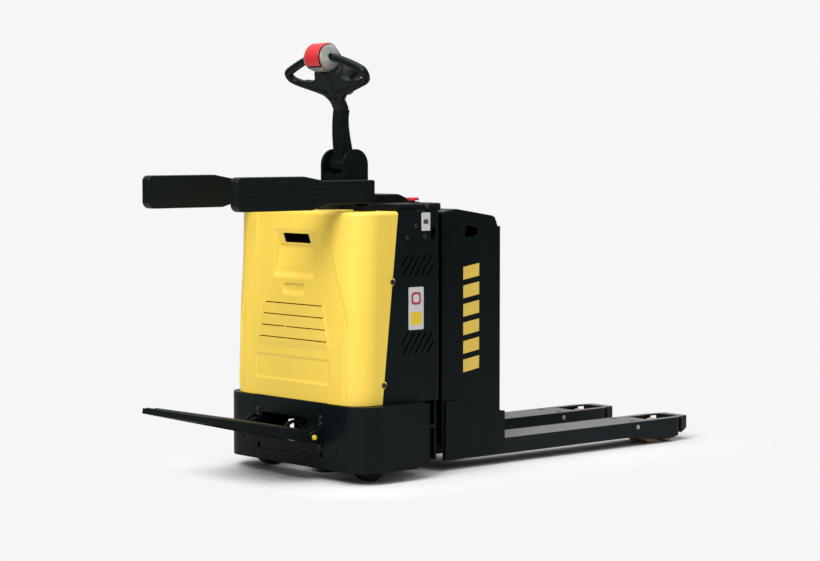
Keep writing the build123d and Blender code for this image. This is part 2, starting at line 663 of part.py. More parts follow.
def tiller_head():
    """A flat body with two hand gaps, a round core between the grips and a shaft that carries the wings."""
    wide = HANDLE_HALF
    right = [(25, 10), (32, 36), (62, 60), (205, 100), (wide, 128), (wide - 6, 158), (WING_Y[1] + 2, 222)]
    left = [(-y, z) for y, z in reversed(right)]
    wire = Polyline(*[(-HEAD_HALF_THICK, y, z) for y, z in right + left], close=True)
    head = Solid.extrude(make_face(wire).face(), Vector(2 * HEAD_HALF_THICK, 0, 0))
    for side in (1, -1):
        gap = [(86, 180), (174, 152), (180, 132), (150, 120), (98, 112), (70, 128)]
        head -= front_profile([(y * side, z) for y, z in gap], (-40, 40), 6)
    x, z = HUB
    core = (-WING_Y[0] + 0.6, WING_Y[0] - 0.6)
    head -= rod_y(x, z, HUB_RADIUS + 12, (-WING_Y[1] - 1, WING_Y[1] + 1))
    head += rod_y(x, z, HUB_CORE_RADIUS, core)
    head += block((-HEAD_HALF_THICK, HEAD_HALF_THICK), core, (z - 66, z - 28))
    head -= rod_y(x, z, HUB_SLEEVE_RADIUS + FIT, (core[0] - 1, core[1] + 1))
    head += rod_y(x, z, HUB_SHAFT_RADIUS, (-WING_Y[1] - 6, WING_Y[1] + 6))
    for y, z in BUTTON_PLACES.values():
        head -= rod_x(y, z, BUTTON_RADIUS + 0.5, (HEAD_HALF_THICK - 8, HEAD_HALF_THICK + 10))
    return on_head(head)


def head_button(name):
    y, z = BUTTON_PLACES[name]
    cap = rod_x(y, z, BUTTON_RADIUS, (HEAD_HALF_THICK - 4, HEAD_HALF_THICK + 4))
    cap = fillet(cap.edges().sort_by(Axis.X)[-1:], 2)
    return on_head(cap)


def belly_button():
    """The safety button that wraps the front and top of the hub."""
    half = WING_Y[0] - 2.5
    x, z = HUB
    shell = rod_y(x, z, BELLY_RADIUS, (-half, half)) - rod_y(x, z, BELLY_RADIUS - 5, (-60, 60))
    sector = side_profile([(x - 80, z - 24), (x, z - 6), (x + 24, z + 80), (x - 80, z + 80)], (-60, 60))
    return on_head(shell & sector)


def throttle():
    """Two wings on one sleeve, which turns on the shaft."""
    x, z = HUB
    wings = rod_y(x, z, HUB_SLEEVE_RADIUS, (-WING_Y[1], WING_Y[1]))
    for side in (1, -1):
        y = span(WING_Y, side)
        wings += rod_y(x, z, HUB_RADIUS, y)
        wings += side_profile([(x - 16, z - 52), (x + 6, z - 53), (x + 24, z - 32), (x - 20, z - 30)], y, 4)
    wings -= rod_y(x, z, HUB_SHAFT_RADIUS + FIT, (-80, 80))
    return on_head(wings)


# ---------------------------------------------------------------- side arms and platform

def side_arm(side):
    points = [(ARM_FRONT_X, 952), (-112, 952), (-42, 971), (165, 971),
              (165, 1053), (-63, 1053), (-146, 1068), (ARM_FRONT_X, 1068)]
    radii = [26, 30, 30, 14, 8, 30, 30, 20]
    wire = FilletPolyline(*[(x, ARM_Y[0], z) for x, z in points], radius=radii, close=True)
    pad = Solid.extrude(make_face(wire).face(), Vector(0, ARM_Y[1] - ARM_Y[0], 0))
    pad = fillet(pad.edges().group_by(Axis.Y)[-1] + pad.edges().group_by(Axis.Y)[0], 4)
    for z in ARM_GROOVES:
        pad -= block((ARM_FRONT_X + 42, 106), (ARM_Y[1] - 1.5, ARM_Y[1] + 2), (z - 1.2, z + 1.2))
    pad -= rod_y(*ARM_PIVOT, PIN_RADIUS + FIT, (ARM_Y[0] - 5, ARM_Y[1] - 5.9))
    return pad if side > 0 else other_side(pad)


def level_deck():
    """The platform laid level, before it is tilted about its hinge."""
    x, z = DECK_HINGE
    end = x - DECK_LENGTH
    body = side_profile([(x - 30, z - 21), (x - 30, z + 18), (end, z + 18), (end, z - DECK_EDGE_DROP)],
                        (-DECK_HALF, DECK_HALF))
    plan = plan_profile([(x - 20, -DECK_HALF), (end + DECK_CUT_X, -DECK_HALF), (end, -DECK_HALF + DECK_CUT_Y),
                         (end, DECK_HALF - DECK_CUT_Y), (end + DECK_CUT_X, DECK_HALF), (x - 20, DECK_HALF)], (z - 50, z + 50))
    body = body & plan
    body -= block((end + DECK_CUT_X + 5, x - 50), (-DECK_HALF + 6, DECK_HALF - 6), (z - 60, z + 12))
    for side in (1, -1):
        for rise in (-8, 0, 8):
            y = span((DECK_HALF - 2, DECK_HALF + 5), side)
            body -= block((end + 70, x - 34), y, (z + rise - 1.5, z + rise + 1.5))
        knuckle = rod_y(x, z, 20, span((100, 170), side))
        knuckle += block((x - 40, x), span((100, 170), side), (z - 20, z + 10))
        body += knuckle
    for y in DECK_FINGER_Y:
        ring = rod_y(x, z, 52, (y - 5, y + 5)) - rod_y(x, z, 41, (y - 8, y + 8))
        body += ring & side_profile([(x, z), (x - 80, z + 12), (x - 80, z + 80), (x + 60, z + 60)], (y - 9, y + 9))
    body -= rod_y(x, z, PIN_RADIUS + FIT, (-180, 180))
    return body


def platform_deck():
    return turned_about(level_deck(), DECK_HINGE, DECK_TILT)


def platform_mat():
    x, z = DECK_HINGE
    end = x - DECK_LENGTH + 10
    low, high = z + 18, z + 21
    half = DECK_HALF - 8
    mat = plan_profile([(x - 60, -half), (end + DECK_CUT_X - 5, -half), (end, -half + DECK_CUT_Y - 3),
                        (end, half - DECK_CUT_Y + 3), (end + DECK_CUT_X - 5, half), (x - 60, half)], (low, high))
    for number in range(17):
        y = -176 + 22 * number
        mat += block((end + 52, x - 64), (y - 5, y + 5), (high, high + 3))
    return turned_about(mat, DECK_HINGE, DECK_TILT)


# ---------------------------------------------------------------- write every node

emit("chassis_frame", chassis_frame())
emit("skirt_left", skirt(1))
emit("skirt_right", skirt(-1))
emit("front_plate", front_plate())
emit("front_bolts", *front_bolts())
emit("platform_lugs", *platform_lugs())
emit("platform_pin", platform_pin())
emit("motor_cover", motor_cover())
emit("side_panel_left", side_panel(1))
emit("side_panel_right", side_panel(-1))
emit("panel_bolts", *panel_bolts())
emit("top_cover", top_cover())
emit("dash_gauge", dash_gauge())
emit("key_lock", key_lock())
emit("key", key())
emit("stop_base", stop_base())
emit("stop_button", stop_button())
emit("arm_posts", *arm_posts())
emit("mast_rails", *mast_rails())
emit("lift_cylinder", lift_cylinder())
emit("pump_unit", pump_unit())
emit("slew_ring", slew_ring())
emit("carriage_frame", carriage_frame())
emit("boss_plates", boss_plate(1), boss_plate(-1))
emit("battery", battery())
emit("guide_shoes", *guide_shoes())
emit("lift_ram", lift_ram())
emit("battery_lid", battery_lid())
emit("lever_pins", *lever_pins())
emit("drive_gearbox", drive_gearbox())
emit("drive_wheel", drive_wheel())
emit("drive_motor", drive_motor())
emit("tiller_bracket", *tiller_bracket())
emit("tiller_arm", tiller_arm())
emit("tiller_head", tiller_head())
emit("belly_button", belly_button())
emit("throttle", throttle())
emit("platform_deck", platform_deck())
emit("platform_mat", platform_mat())
for name in BUTTON_PLACES:
    emit(name, head_button(name))
for word, side in (("left", 1), ("right", -1)):
    emit("fork_" + word, fork(side))
    emit("push_rod_" + word, push_rod(side))
    emit("lever_" + word, lever(side))
    emit("bogie_" + word, bogie(side))
    emit("castor_fork_" + word, castor_fork(side))
    emit("castor_wheel_" + word, castor_wheel(side))
    emit("side_arm_" + word, side_arm(side))
    emit("roller_front_" + word, roller(side, 1))
    emit("roller_rear_" + word, roller(side, -1))

print("shift along x", round(-MIDDLE_X, 4))
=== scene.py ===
import json
import math

import bmesh
import bpy
from mathutils import Matrix, Vector


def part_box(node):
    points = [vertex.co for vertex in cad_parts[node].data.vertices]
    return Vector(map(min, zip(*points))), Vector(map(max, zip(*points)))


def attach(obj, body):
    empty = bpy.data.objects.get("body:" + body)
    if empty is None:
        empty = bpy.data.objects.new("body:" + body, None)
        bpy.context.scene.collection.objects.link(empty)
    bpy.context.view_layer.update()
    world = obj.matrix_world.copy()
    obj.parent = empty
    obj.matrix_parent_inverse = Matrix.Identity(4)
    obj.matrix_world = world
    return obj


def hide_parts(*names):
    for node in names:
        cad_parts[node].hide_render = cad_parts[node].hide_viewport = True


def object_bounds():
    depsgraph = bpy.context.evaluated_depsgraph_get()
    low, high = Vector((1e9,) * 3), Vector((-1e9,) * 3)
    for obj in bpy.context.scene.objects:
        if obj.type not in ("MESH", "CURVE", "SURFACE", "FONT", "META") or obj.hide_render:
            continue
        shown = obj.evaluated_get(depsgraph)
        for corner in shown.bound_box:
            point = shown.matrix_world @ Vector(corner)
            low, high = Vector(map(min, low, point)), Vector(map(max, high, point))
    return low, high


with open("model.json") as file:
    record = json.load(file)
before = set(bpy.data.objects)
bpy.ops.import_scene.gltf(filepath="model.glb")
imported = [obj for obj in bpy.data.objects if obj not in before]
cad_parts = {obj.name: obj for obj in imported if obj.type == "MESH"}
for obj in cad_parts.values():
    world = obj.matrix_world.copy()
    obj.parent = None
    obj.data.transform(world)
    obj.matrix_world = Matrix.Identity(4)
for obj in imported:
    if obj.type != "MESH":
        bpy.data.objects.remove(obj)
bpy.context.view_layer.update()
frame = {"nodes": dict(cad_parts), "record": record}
nodes = frame["nodes"]
scene = bpy.context.scene

# Lengths are metres. x runs from the face of the front plate towards the fork tips, as in spot(),
# y to the truck's left and z up from the floor.
FRONT_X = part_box("front_plate")[0].x
TRUCK_LOW, TRUCK_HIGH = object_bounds()


def spot(x, y, z):
    """A point measured from the face of the front plate, in the row frame."""
    return Vector((FRONT_X + x, y, z))


def smooth(low, high, value):
    """0 below low, 1 above high, and an even S between them."""
    share = min(max((value - low) / (high - low), 0.0), 1.0)
    return share * share * (3 - 2 * share)


# ---------------------------------------------------------------- camera

AZIMUTH = -41.1526
PITCH = 3.6064
LENS = 99.53

camera_data = bpy.data.cameras.new("camera")
camera_data.sensor_width = 36
camera_data.lens = LENS
camera_data.clip_end = 60
camera = bpy.data.objects.new("camera", camera_data)
camera.location = spot(-4.945, -6.309, 1.2)
camera.rotation_euler = (math.radians(90 - PITCH), 0, math.radians(AZIMUTH))
scene.collection.objects.link(camera)
scene.camera = camera
scene.view_settings.view_transform = "Standard"


# ---------------------------------------------------------------- node helpers

class Graph:
    """A small helper that adds shader nodes and joins them."""

    def __init__(self, tree):
        self.tree = tree
        self.tree.nodes.clear()

    def add(self, kind, inputs=None, **settings):
        node = self.tree.nodes.new(kind)
        for name, value in settings.items():
            setattr(node, name, value)
        for name, value in (inputs or {}).items():
            if isinstance(value, bpy.types.NodeSocket):
                self.tree.links.new(value, node.inputs[name])
            else:
                node.inputs[name].default_value = value
        return node

    def join(self, source, target):
        self.tree.links.new(source, target)

    def ramp(self, value, low, high, to_low=0.0, to_high=1.0):
        sizes = {"Value": value, "From Min": low, "From Max": high, "To Min": to_low, "To Max": to_high}
        return self.add("ShaderNodeMapRange", sizes).outputs["Result"]

    def maths(self, operation, first, second=0.0):
        return self.add("ShaderNodeMath", {0: first, 1: second}, operation=operation).outputs[0]

    def noise(self, vector, scale, detail=3.0, roughness=0.5):
        sizes = {"Vector": vector, "Scale": scale, "Detail": detail, "Roughness": roughness}
        return self.add("ShaderNodeTexNoise", sizes).outputs["Fac"]

    def mix(self, share, first, second):
        node = self.add("ShaderNodeMix", data_type="RGBA")
        for socket, value in ((node.inputs[0], share), (node.inputs[6], first), (node.inputs[7], second)):
            if isinstance(value, bpy.types.NodeSocket):
                self.join(value, socket)
            else:
                socket.default_value = value
        return node.outputs[2]


def shade(color, factor):
    return tuple(min(channel * factor, 1.0) for channel in color[:3]) + (1.0,)


def finish(name, color, roughness, tone=0.12, blotch=6.0, grain=900.0, bump=0.12, depth=0.0002,
           specular=0.5, metallic=0.0, coat=0.0, worn=None, wear=0.0, top_sheen=0.0):
    """A procedural finish: slow tone changes, fine grain in bump and roughness, worn edges, and a painted highlight
    on up-facing faces.
    """
    material = bpy.data.materials.new(name)
    material.use_nodes = True
    graph = Graph(material.node_tree)
    place = graph.add("ShaderNodeTexCoord").outputs["Object"]
    slow = graph.noise(place, blotch, 4.0, 0.6)
    fine = graph.noise(place, grain, 2.0, 0.6)
    tint = graph.mix(graph.ramp(slow, 0.3, 0.7), shade(color, 1 - tone), shade(color, 1 + tone))
    if worn:
        edge = graph.add("ShaderNodeBevel", {"Radius": 0.003}, samples=4).outputs["Normal"]
        normal = graph.add("ShaderNodeNewGeometry").outputs["Normal"]
        agree = graph.add("ShaderNodeVectorMath", {0: edge, 1: normal}, operation="DOT_PRODUCT")
        agree = agree.outputs["Value"]
        turned = graph.ramp(agree, 0.985, 0.86)
        patchy = graph.ramp(graph.noise(place, 38.0, 5.0, 0.7), 0.42, 0.68)
        share = graph.maths("MULTIPLY", graph.maths("MULTIPLY", turned, patchy), wear)
        tint = graph.mix(share, tint, tuple(worn[:3]) + (1.0,))
    # painted highlight: faces that point up blend towards a light grey, standing in for the sheen of light on level
    # tops such as the fork tops
    if top_sheen:
        level = graph.add("ShaderNodeSeparateXYZ", {0: graph.add("ShaderNodeNewGeometry").outputs["Normal"]})
        tint = graph.mix(graph.ramp(level.outputs["Z"], 0.94, 0.995, 0.0, top_sheen), tint, (0.34, 0.35, 0.36, 1))
    mixed = graph.maths("ADD", graph.maths("MULTIPLY", slow, 0.5), graph.maths("MULTIPLY", fine, 0.5))
    rough = graph.ramp(mixed, 0.3, 0.7, roughness * 0.86, roughness * 1.14)
    height = graph.add("ShaderNodeBump", {"Strength": bump, "Distance": depth, "Height": fine})
    shader = graph.add("ShaderNodeBsdfPrincipled", {
        "Base Color": tint, "Roughness": rough, "Metallic": metallic, "Normal": height.outputs["Normal"],
        "Specular IOR Level": specular, "Coat Weight": coat, "Coat Roughness": 0.12})
    output = graph.add("ShaderNodeOutputMaterial")
    graph.join(shader.outputs["BSDF"], output.inputs["Surface"])
    return material


# ---------------------------------------------------------------- materials, by slot and for a few looks

MATERIALS = {
    "black_steel": finish("black_steel", (0.0012, 0.0046, 0.0054), 0.44, specular=0.17, bump=0.22,
                          depth=0.0003, grain=520, worn=(0.020, 0.027, 0.029), wear=0.5),
    "fork_paint": finish("fork_paint", (0.0040, 0.0090, 0.0110), 0.44, specular=0.20, bump=0.22,
                         depth=0.0003, grain=520, worn=(0.03, 0.035, 0.036), wear=0.5, top_sheen=0.45),
    "yellow_cover": finish("yellow_cover", (0.93, 0.655, 0.090), 0.40, tone=0.025, blotch=3.0, bump=0.10,
                           grain=1500, worn=(0.95, 0.72, 0.16), wear=0.35),
    "black_plastic": finish("black_plastic", (0.0016, 0.0050, 0.0056), 0.42, specular=0.22, bump=0.35,
                            depth=0.0002, grain=1400, worn=(0.016, 0.022, 0.023), wear=0.35),
    "arm_pad": finish("arm_pad", (0.0016, 0.0050, 0.0052), 0.42, specular=0.24, bump=0.5,
                      depth=0.0002, grain=1300, worn=(0.018, 0.024, 0.024), wear=0.3),
    "zinc": finish("zinc", (0.55, 0.56, 0.57), 0.34, metallic=1.0, bump=0.12, grain=700),
    "dark_fastener": finish("dark_fastener", (0.012, 0.014, 0.015), 0.38, bump=0.15, grain=900,
                            worn=(0.10, 0.11, 0.11), wear=0.6),
    "yellow_pin": finish("yellow_pin", (0.85, 0.60, 0.05), 0.36, tone=0.06, bump=0.12),
    "roller_tread": finish("roller_tread", (0.62, 0.33, 0.17), 0.48, tone=0.10, blotch=18.0, bump=0.3),
    "castor_tread": finish("castor_tread", (0.008, 0.0078, 0.0078), 0.55, specular=0.3,
                           tone=0.2, blotch=24.0, bump=0.4),
    "drive_tread": finish("drive_tread", (0.007, 0.0068, 0.0066), 0.58, specular=0.3,
                          tone=0.2, blotch=24.0, bump=0.45),
    "red_button": finish("red_button", (0.60, 0.026, 0.031), 0.36, tone=0.03, bump=0.10, grain=1500),
    "grey_control": finish("grey_control", (0.27, 0.27, 0.265), 0.42, tone=0.04, bump=0.15, grain=1400),
    "mat_rubber": finish("mat_rubber", (0.005, 0.0072, 0.0078), 0.50, tone=0.15, bump=0.6, grain=1100),
    "cast_iron": finish("cast_iron", (0.006, 0.0078, 0.0082), 0.55, specular=0.3,
                        tone=0.2, bump=0.8, depth=0.0005, grain=420),
    "battery_case": finish("battery_case", (0.025, 0.025, 0.028), 0.5, bump=0.3),
    "label": finish("label", (0.60, 0.61, 0.605), 0.45, tone=0.03, bump=0.05),
    "label_ink": finish("label_ink", (0.05, 0.055, 0.055), 0.5, tone=0.1),
    "label_red": finish("label_red", (0.45, 0.03, 0.035), 0.5, tone=0.06),
    "label_yellow": finish("label_yellow", (0.80, 0.56, 0.03), 0.5, tone=0.05),
    "stripe": finish("stripe", (0.88, 0.62, 0.10), 0.45, tone=0.04, bump=0.06),
    "gauge": finish("gauge", (0.012, 0.015, 0.016), 0.2, tone=0.1, coat=0.5),
}
SLOT_OF = {part["node"]: part["material_slot"] for part in frame["record"]["subparts"]}


def soften(piece, width, angle=32.0):
    """Rounds the sharp edges a little, as on any real part, and evens the shading."""
    weld = piece.modifiers.new("weld", "WELD")
    weld.merge_threshold = 0.00002
    bevel = piece.modifiers.new("round", "BEVEL")
    bevel.width = width
    bevel.segments = 2
    bevel.limit_method = "ANGLE"
    bevel.angle_limit = math.radians(angle)
    bevel.use_clamp_overlap = True
    piece.modifiers.new("shading", "WEIGHTED_NORMAL").keep_sharp = False


EDGE_WIDTH = {"fork_left": 0.0028, "fork_right": 0.0028, "carriage_frame": 0.0016, "boss_plates": 0.0014,
              "platform_deck": 0.0022, "top_cover": 0.0016, "tiller_bracket": 0.0018, "tiller_arm": 0.006,
              "battery_lid": 0.0018, "platform_mat": 0.0008, "belly_button": 0.003, "throttle": 0.003}

# pieces that look unlike their slot: painted castor forks, and forks with a painted highlight on their level tops
LOOK_OF = {"castor_fork_left": "cast_iron", "castor_fork_right": "cast_iron",
           "fork_left": "fork_paint", "fork_right": "fork_paint"}

for name, node in nodes.items():
    node.data.materials.clear()
    node.data.materials.append(MATERIALS[LOOK_OF.get(name, SLOT_OF[name])])
    soften(node, EDGE_WIDTH.get(name, 0.0009))


# ---------------------------------------------------------------- pieces: helpers

def solid_piece(name, shape, slot, body, smooth_faces=True):
    """Turns a bmesh in the row frame into a finished piece that rides on a body."""
    bmesh.ops.remove_doubles(shape, verts=shape.verts, dist=1e-6)
    bmesh.ops.recalc_face_normals(shape, faces=shape.faces)
    mesh = bpy.data.meshes.new(name)
    shape.to_mesh(mesh)
    shape.free()
    for face in mesh.polygons:
        face.use_smooth = smooth_faces
    mesh.materials.append(MATERIALS[slot])
    piece = bpy.data.objects.new(name, mesh)
    scene.collection.objects.link(piece)
    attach(piece, body)
    return piece


def apply_modifiers(piece):
    """Bakes the piece's modifiers into its mesh."""
    bpy.context.view_layer.update()
    depsgraph = bpy.context.evaluated_depsgraph_get()
    done = bpy.data.meshes.new_from_object(piece.evaluated_get(depsgraph))
    piece.modifiers.clear()
    piece.data = done


def lines(low, high, step, exact=()):
    """Evenly spaced values from low to high that also include the exact ones."""
    count = max(1, round((high - low) / step))
    values = [low + (high - low) * i / count for i in range(count + 1)]
    kept = [v for v in values[1:-1] if all(abs(v - e) > step * 0.45 for e in exact)]
    return sorted({low, high, *kept, *(e for e in exact if low < e < high)})


# ---------------------------------------------------------------- motor cover

COVER_HALF = 0.358
COVER_CORNER = 0.088
COVER_FRONT = 0.010
COVER_DRAFT = 0.019
COVER_LOW, COVER_HIGH = 0.2745, 0.944
COVER_LIP = 0.014
COVER_FLAT = COVER_HALF - COVER_CORNER
COVER_BEND = COVER_FLAT + COVER_CORNER * math.pi / 2
SEAM_LOW, SEAM_HIGH = 0.1295, 0.2020
LUG_HEIGHTS = (0.700, 0.342)
LUG_RADIUS = 0.0145
SLOT_TOP, SLOT_PITCH, SLOT_COUNT, SLOT_HEIGHT = 0.612, 0.0413, 4, 0.0036
GRIP_HALF, GRIP_LOW, GRIP_HIGH = 0.073, 0.828, 0.862


def slot_half(z):
    """Half the width of the louvre field, which widens downwards."""
    return 0.162 + 0.032 * (SLOT_TOP - z) / (SLOT_PITCH * (SLOT_COUNT - 1))


def crease_half(z):
    """Where the long crease runs at each height."""
    return 0.211 + 0.089 * smooth(0.84, 0.53, z) if z < 0.84 else 0.211


def rounded_rectangle(u, v, half_u, half_v, radius):
    """Signed distance from a rounded rectangle's edge, negative inside."""
    du = abs(u) - half_u + radius
    dv = abs(v) - half_v + radius
    return math.hypot(max(du, 0), max(dv, 0)) + min(max(du, dv), 0) - radius


def cover_depth(w, z):
    """How far the front face lies inwards from its plain surface."""
    side = abs(w)
    depth = 0.0
    recess = rounded_rectangle(w, z - 0.788, 0.112, 0.084, 0.012)
    if recess < 0.006:
        wall = smooth(0.003, -0.005, recess)
        if z > GRIP_HIGH:
            floor = 0.004
        elif z > GRIP_LOW:
            floor = 0.004 + 0.012 * (GRIP_HIGH - z) / (GRIP_HIGH - GRIP_LOW)
        else:
            floor = 0.016 + 0.008 * smooth(GRIP_LOW - 0.004, 0.814, z) - 0.008 * smooth(0.814, 0.722, z)
        depth += wall * floor * smooth(0.700, 0.726, z)
    tab = rounded_rectangle(w, z - 0.662, 0.060, 0.022, 0.012)
    depth += 0.009 * smooth(0.001, -0.004, tab) * smooth(0.640, 0.664, z)
    below = (SLOT_TOP - z) / SLOT_PITCH
    if -0.5 < below < SLOT_COUNT:
        edge = smooth(slot_half(z) + 0.010, slot_half(z) + 0.001, side)
        share = below - math.floor(below)
        if below < 0:
            depth += 0.0012 * edge * smooth(-0.5, -0.05, below)
        else:
            depth -= 0.0052 * edge * (1 - share) ** 0.8 * smooth(SLOT_COUNT, SLOT_COUNT - 0.75, below)
    panel = rounded_rectangle(w, z - 0.382, 0.210, 0.041, 0.009)
    depth += 0.0030 * smooth(0.0010, -0.0020, panel)
    reach = side - crease_half(z)
    ends = smooth(COVER_LOW - 0.01, 0.33, z)
    depth -= 0.0060 * smooth(-0.0010, 0.0030, reach) * smooth(0.11, 0.004, reach) * (0.4 + 0.6 * ends)
    return depth


def cover_point(w, z, inset):
    """A point of the cover w along its outline from the middle of the front."""
    side = 1 if w > 0 else -1
    front = COVER_FRONT + COVER_DRAFT * (z - COVER_LOW) / (COVER_HIGH - COVER_LOW)
    reach = abs(w)
    if reach <= COVER_FLAT:
        return spot(front + inset, w, z)
    if reach <= COVER_BEND + 1e-9:
        turn = (reach - COVER_FLAT) / COVER_CORNER
        radius = COVER_CORNER - inset
        across = side * (COVER_FLAT + radius * math.sin(turn))
        return spot(front + COVER_CORNER - radius * math.cos(turn), across, z)
    return spot(front + COVER_CORNER + reach - COVER_BEND, side * (COVER_HALF - inset), z)


def seam_reach(z):
    """Distance along the outline to the seam, with a round lug at each side screw."""
    share = (z - COVER_LOW) / (COVER_HIGH - COVER_LOW)
    seam = SEAM_LOW + (SEAM_HIGH - SEAM_LOW) * share
    for height in LUG_HEIGHTS:
        offset = abs(z - height)
        if offset < LUG_RADIUS:
            seam += math.sqrt(LUG_RADIUS ** 2 - offset ** 2) - 0.0025
    front = COVER_FRONT + COVER_DRAFT * share
    return COVER_BEND + seam - front - COVER_CORNER


def motor_cover():
    slots = [SLOT_TOP - SLOT_PITCH * i for i in range(SLOT_COUNT)]
    halves = [slot_half(z) for z in slots]
    exact_w = [GRIP_HALF, *halves]
    exact_w += [-w for w in exact_w]
    exact_z = [GRIP_LOW, GRIP_HIGH]
    for z in slots:
        exact_z += [z - SLOT_HEIGHT / 2, z + SLOT_HEIGHT / 2]
    for height in LUG_HEIGHTS:
        exact_z += [height + LUG_RADIUS * math.sin(math.radians(a)) for a in range(-90, 91, 18)]
    across = lines(-COVER_BEND, COVER_BEND, 0.0042, exact_w)
    rows = [(z, 0.0) for z in lines(COVER_LOW, COVER_HIGH - COVER_LIP, 0.0042, exact_z)]
    for step in range(1, 9):
        angle = math.pi / 2 * step / 8
        rows.append((COVER_HIGH - COVER_LIP * (1 - math.sin(angle)), COVER_LIP * (1 - math.cos(angle))))
    side_steps = [i / 16 for i in range(1, 17)]
    shape = bmesh.new()
    grid = []
    for z, inset in rows:
        reach = seam_reach(z)
        ws = [-(COVER_BEND + (reach - COVER_BEND) * s) for s in reversed(side_steps)] + across
        ws += [COVER_BEND + (reach - COVER_BEND) * s for s in side_steps]
        fade = 1.0 if inset == 0 else 1 - inset / COVER_LIP
        row = [(w, z, shape.verts.new(cover_point(w, z, inset + cover_depth(w, z) * fade))) for w in ws]
        grid.append(row)
    for low, high in zip(grid, grid[1:]):
        for a, b, c, d in zip(low, low[1:], high[1:], high):
            w = (a[0] + b[0]) / 2
            z = (a[1] + d[1]) / 2
            in_grip = abs(w) < GRIP_HALF and GRIP_LOW < z < GRIP_HIGH
            in_slot = any(abs(z - s) < SLOT_HEIGHT / 2 and abs(w) < h for s, h in zip(slots, halves))
            if not (in_grip or in_slot):
                shape.faces.new([point[2] for point in (a, b, c, d)])
    shape.faces.new([point[2] for point in grid[-1]])
    cover = solid_piece("cover_moulding", shape, "yellow_cover", "power_unit")
    wall = cover.modifiers.new("wall", "SOLIDIFY")
    wall.thickness = 0.0036
    wall.offset = -1
    rim = cover.modifiers.new("rim", "BEVEL")
    rim.width = 0.0007
    rim.segments = 2
    rim.limit_method = "ANGLE"
    rim.angle_limit = math.radians(50)
    cover.modifiers.new("shading", "WEIGHTED_NORMAL")
    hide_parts("motor_cover")
    return cover


def box_mesh(shape, low, high, open_face=None):
    """Adds a box between two points of the row frame, without its open face if one is named."""
    corners = [Vector((x, y, z)) for x in (low.x, high.x) for y in (low.y, high.y) for z in (low.z, high.z)]
    points = [shape.verts.new(corner) for corner in corners]
    faces = {"-x": (0, 1, 3, 2), "+x": (4, 6, 7, 5), "-y": (0, 4, 5, 1), "+y": (2, 3, 7, 6), "-z": (0, 2, 6, 4),
             "+z": (1, 5, 7, 3)}
    for name, order in faces.items():
        if name != open_face:
            shape.faces.new([points[i] for i in order])


def grip_pocket():
    """The hollow that fingers reach through the hand opening, made black as painted shade for the dark inside."""
    shape = bmesh.new()
    box_mesh(shape, spot(0.056, -GRIP_HALF - 0.006, 0.8285), spot(0.105, GRIP_HALF + 0.006, 0.872), "-x")
    pocket = solid_piece("grip_pocket", shape, "black_plastic", "power_unit", smooth_faces=False)
    pocket.modifiers.new("wall", "SOLIDIFY").thickness = 0.002


# ---------------------------------------------------------------- labels, stripes and small screws

def side_sheet(name, outline, y, side, thickness, slot, body):
    """A thin plate on a side face, from an outline of (x, z) points."""
    shape = bmesh.new()
    near = [shape.verts.new(spot(x, side * y, z)) for x, z in outline]
    far = [shape.verts.new(spot(x, side * (y + thickness), z)) for x, z in outline]
    shape.faces.new(near)
    shape.faces.new(far)
    for i in range(len(outline)):
        j = (i + 1) % len(outline)
        shape.faces.new((near[i], near[j], far[j], far[i]))
    return solid_piece(name, shape, slot, body, smooth_faces=False)


def round_outline(x, z, radius, steps=6):
    """A rectangle with rounded corners as (x, z) points."""
    points = []
    for cx, cz, start in ((x[1], z[1], 0), (x[0], z[1], 90), (x[0], z[0], 180), (x[1], z[0], 270)):
        inner_x = cx - math.copysign(radius, cx - sum(x) / 2)
        inner_z = cz - math.copysign(radius, cz - sum(z) / 2)
        for step in range(steps + 1):
            angle = math.radians(start + 90 * step / steps)
            points.append((inner_x + radius * math.cos(angle), inner_z + radius * math.sin(angle)))
    return points


def labels_and_stripes():
    for word, side in (("left", 1), ("right", -1)):
        side_sheet("small_label_" + word, round_outline((0.309, 0.350), (0.874, 0.938), 0.004), COVER_HALF + 0.0002,
                   side, 0.0006, "label", "power_unit")
        side_sheet("small_label_bar_" + word, round_outline((0.318, 0.341), (0.898, 0.914), 0.004),
                   COVER_HALF + 0.0008, side, 0.0002, "label_ink", "power_unit")
        side_sheet("tall_label_" + word, round_outline((0.249, 0.319), (0.528, 0.678), 0.005), COVER_HALF + 0.0002,
                   side, 0.0006, "label", "power_unit")
        side_sheet("tall_label_ring_" + word, round_outline((0.262, 0.306), (0.616, 0.660), 0.012),
                   COVER_HALF + 0.0008, side, 0.0002, "label_red", "power_unit")
        side_sheet("tall_label_core_" + word, round_outline((0.270, 0.298), (0.624, 0.652), 0.008),
                   COVER_HALF + 0.0010, side, 0.0002, "label", "power_unit")
        side_sheet("tall_label_block_" + word, round_outline((0.258, 0.310), (0.545, 0.590), 0.006),
                   COVER_HALF + 0.0008, side, 0.0002, "label_yellow", "power_unit")
        for number in range(6):
            low = 0.352 + 0.0672 * number
            slant = 0.012
            bar = [(0.575, low), (0.653, low + slant), (0.653, low + slant + 0.046), (0.575, low + 0.046)]
            side_sheet("stripe_%s_%d" % (word, number + 1), bar, 0.2852, side, 0.0006, "stripe", "carriage")


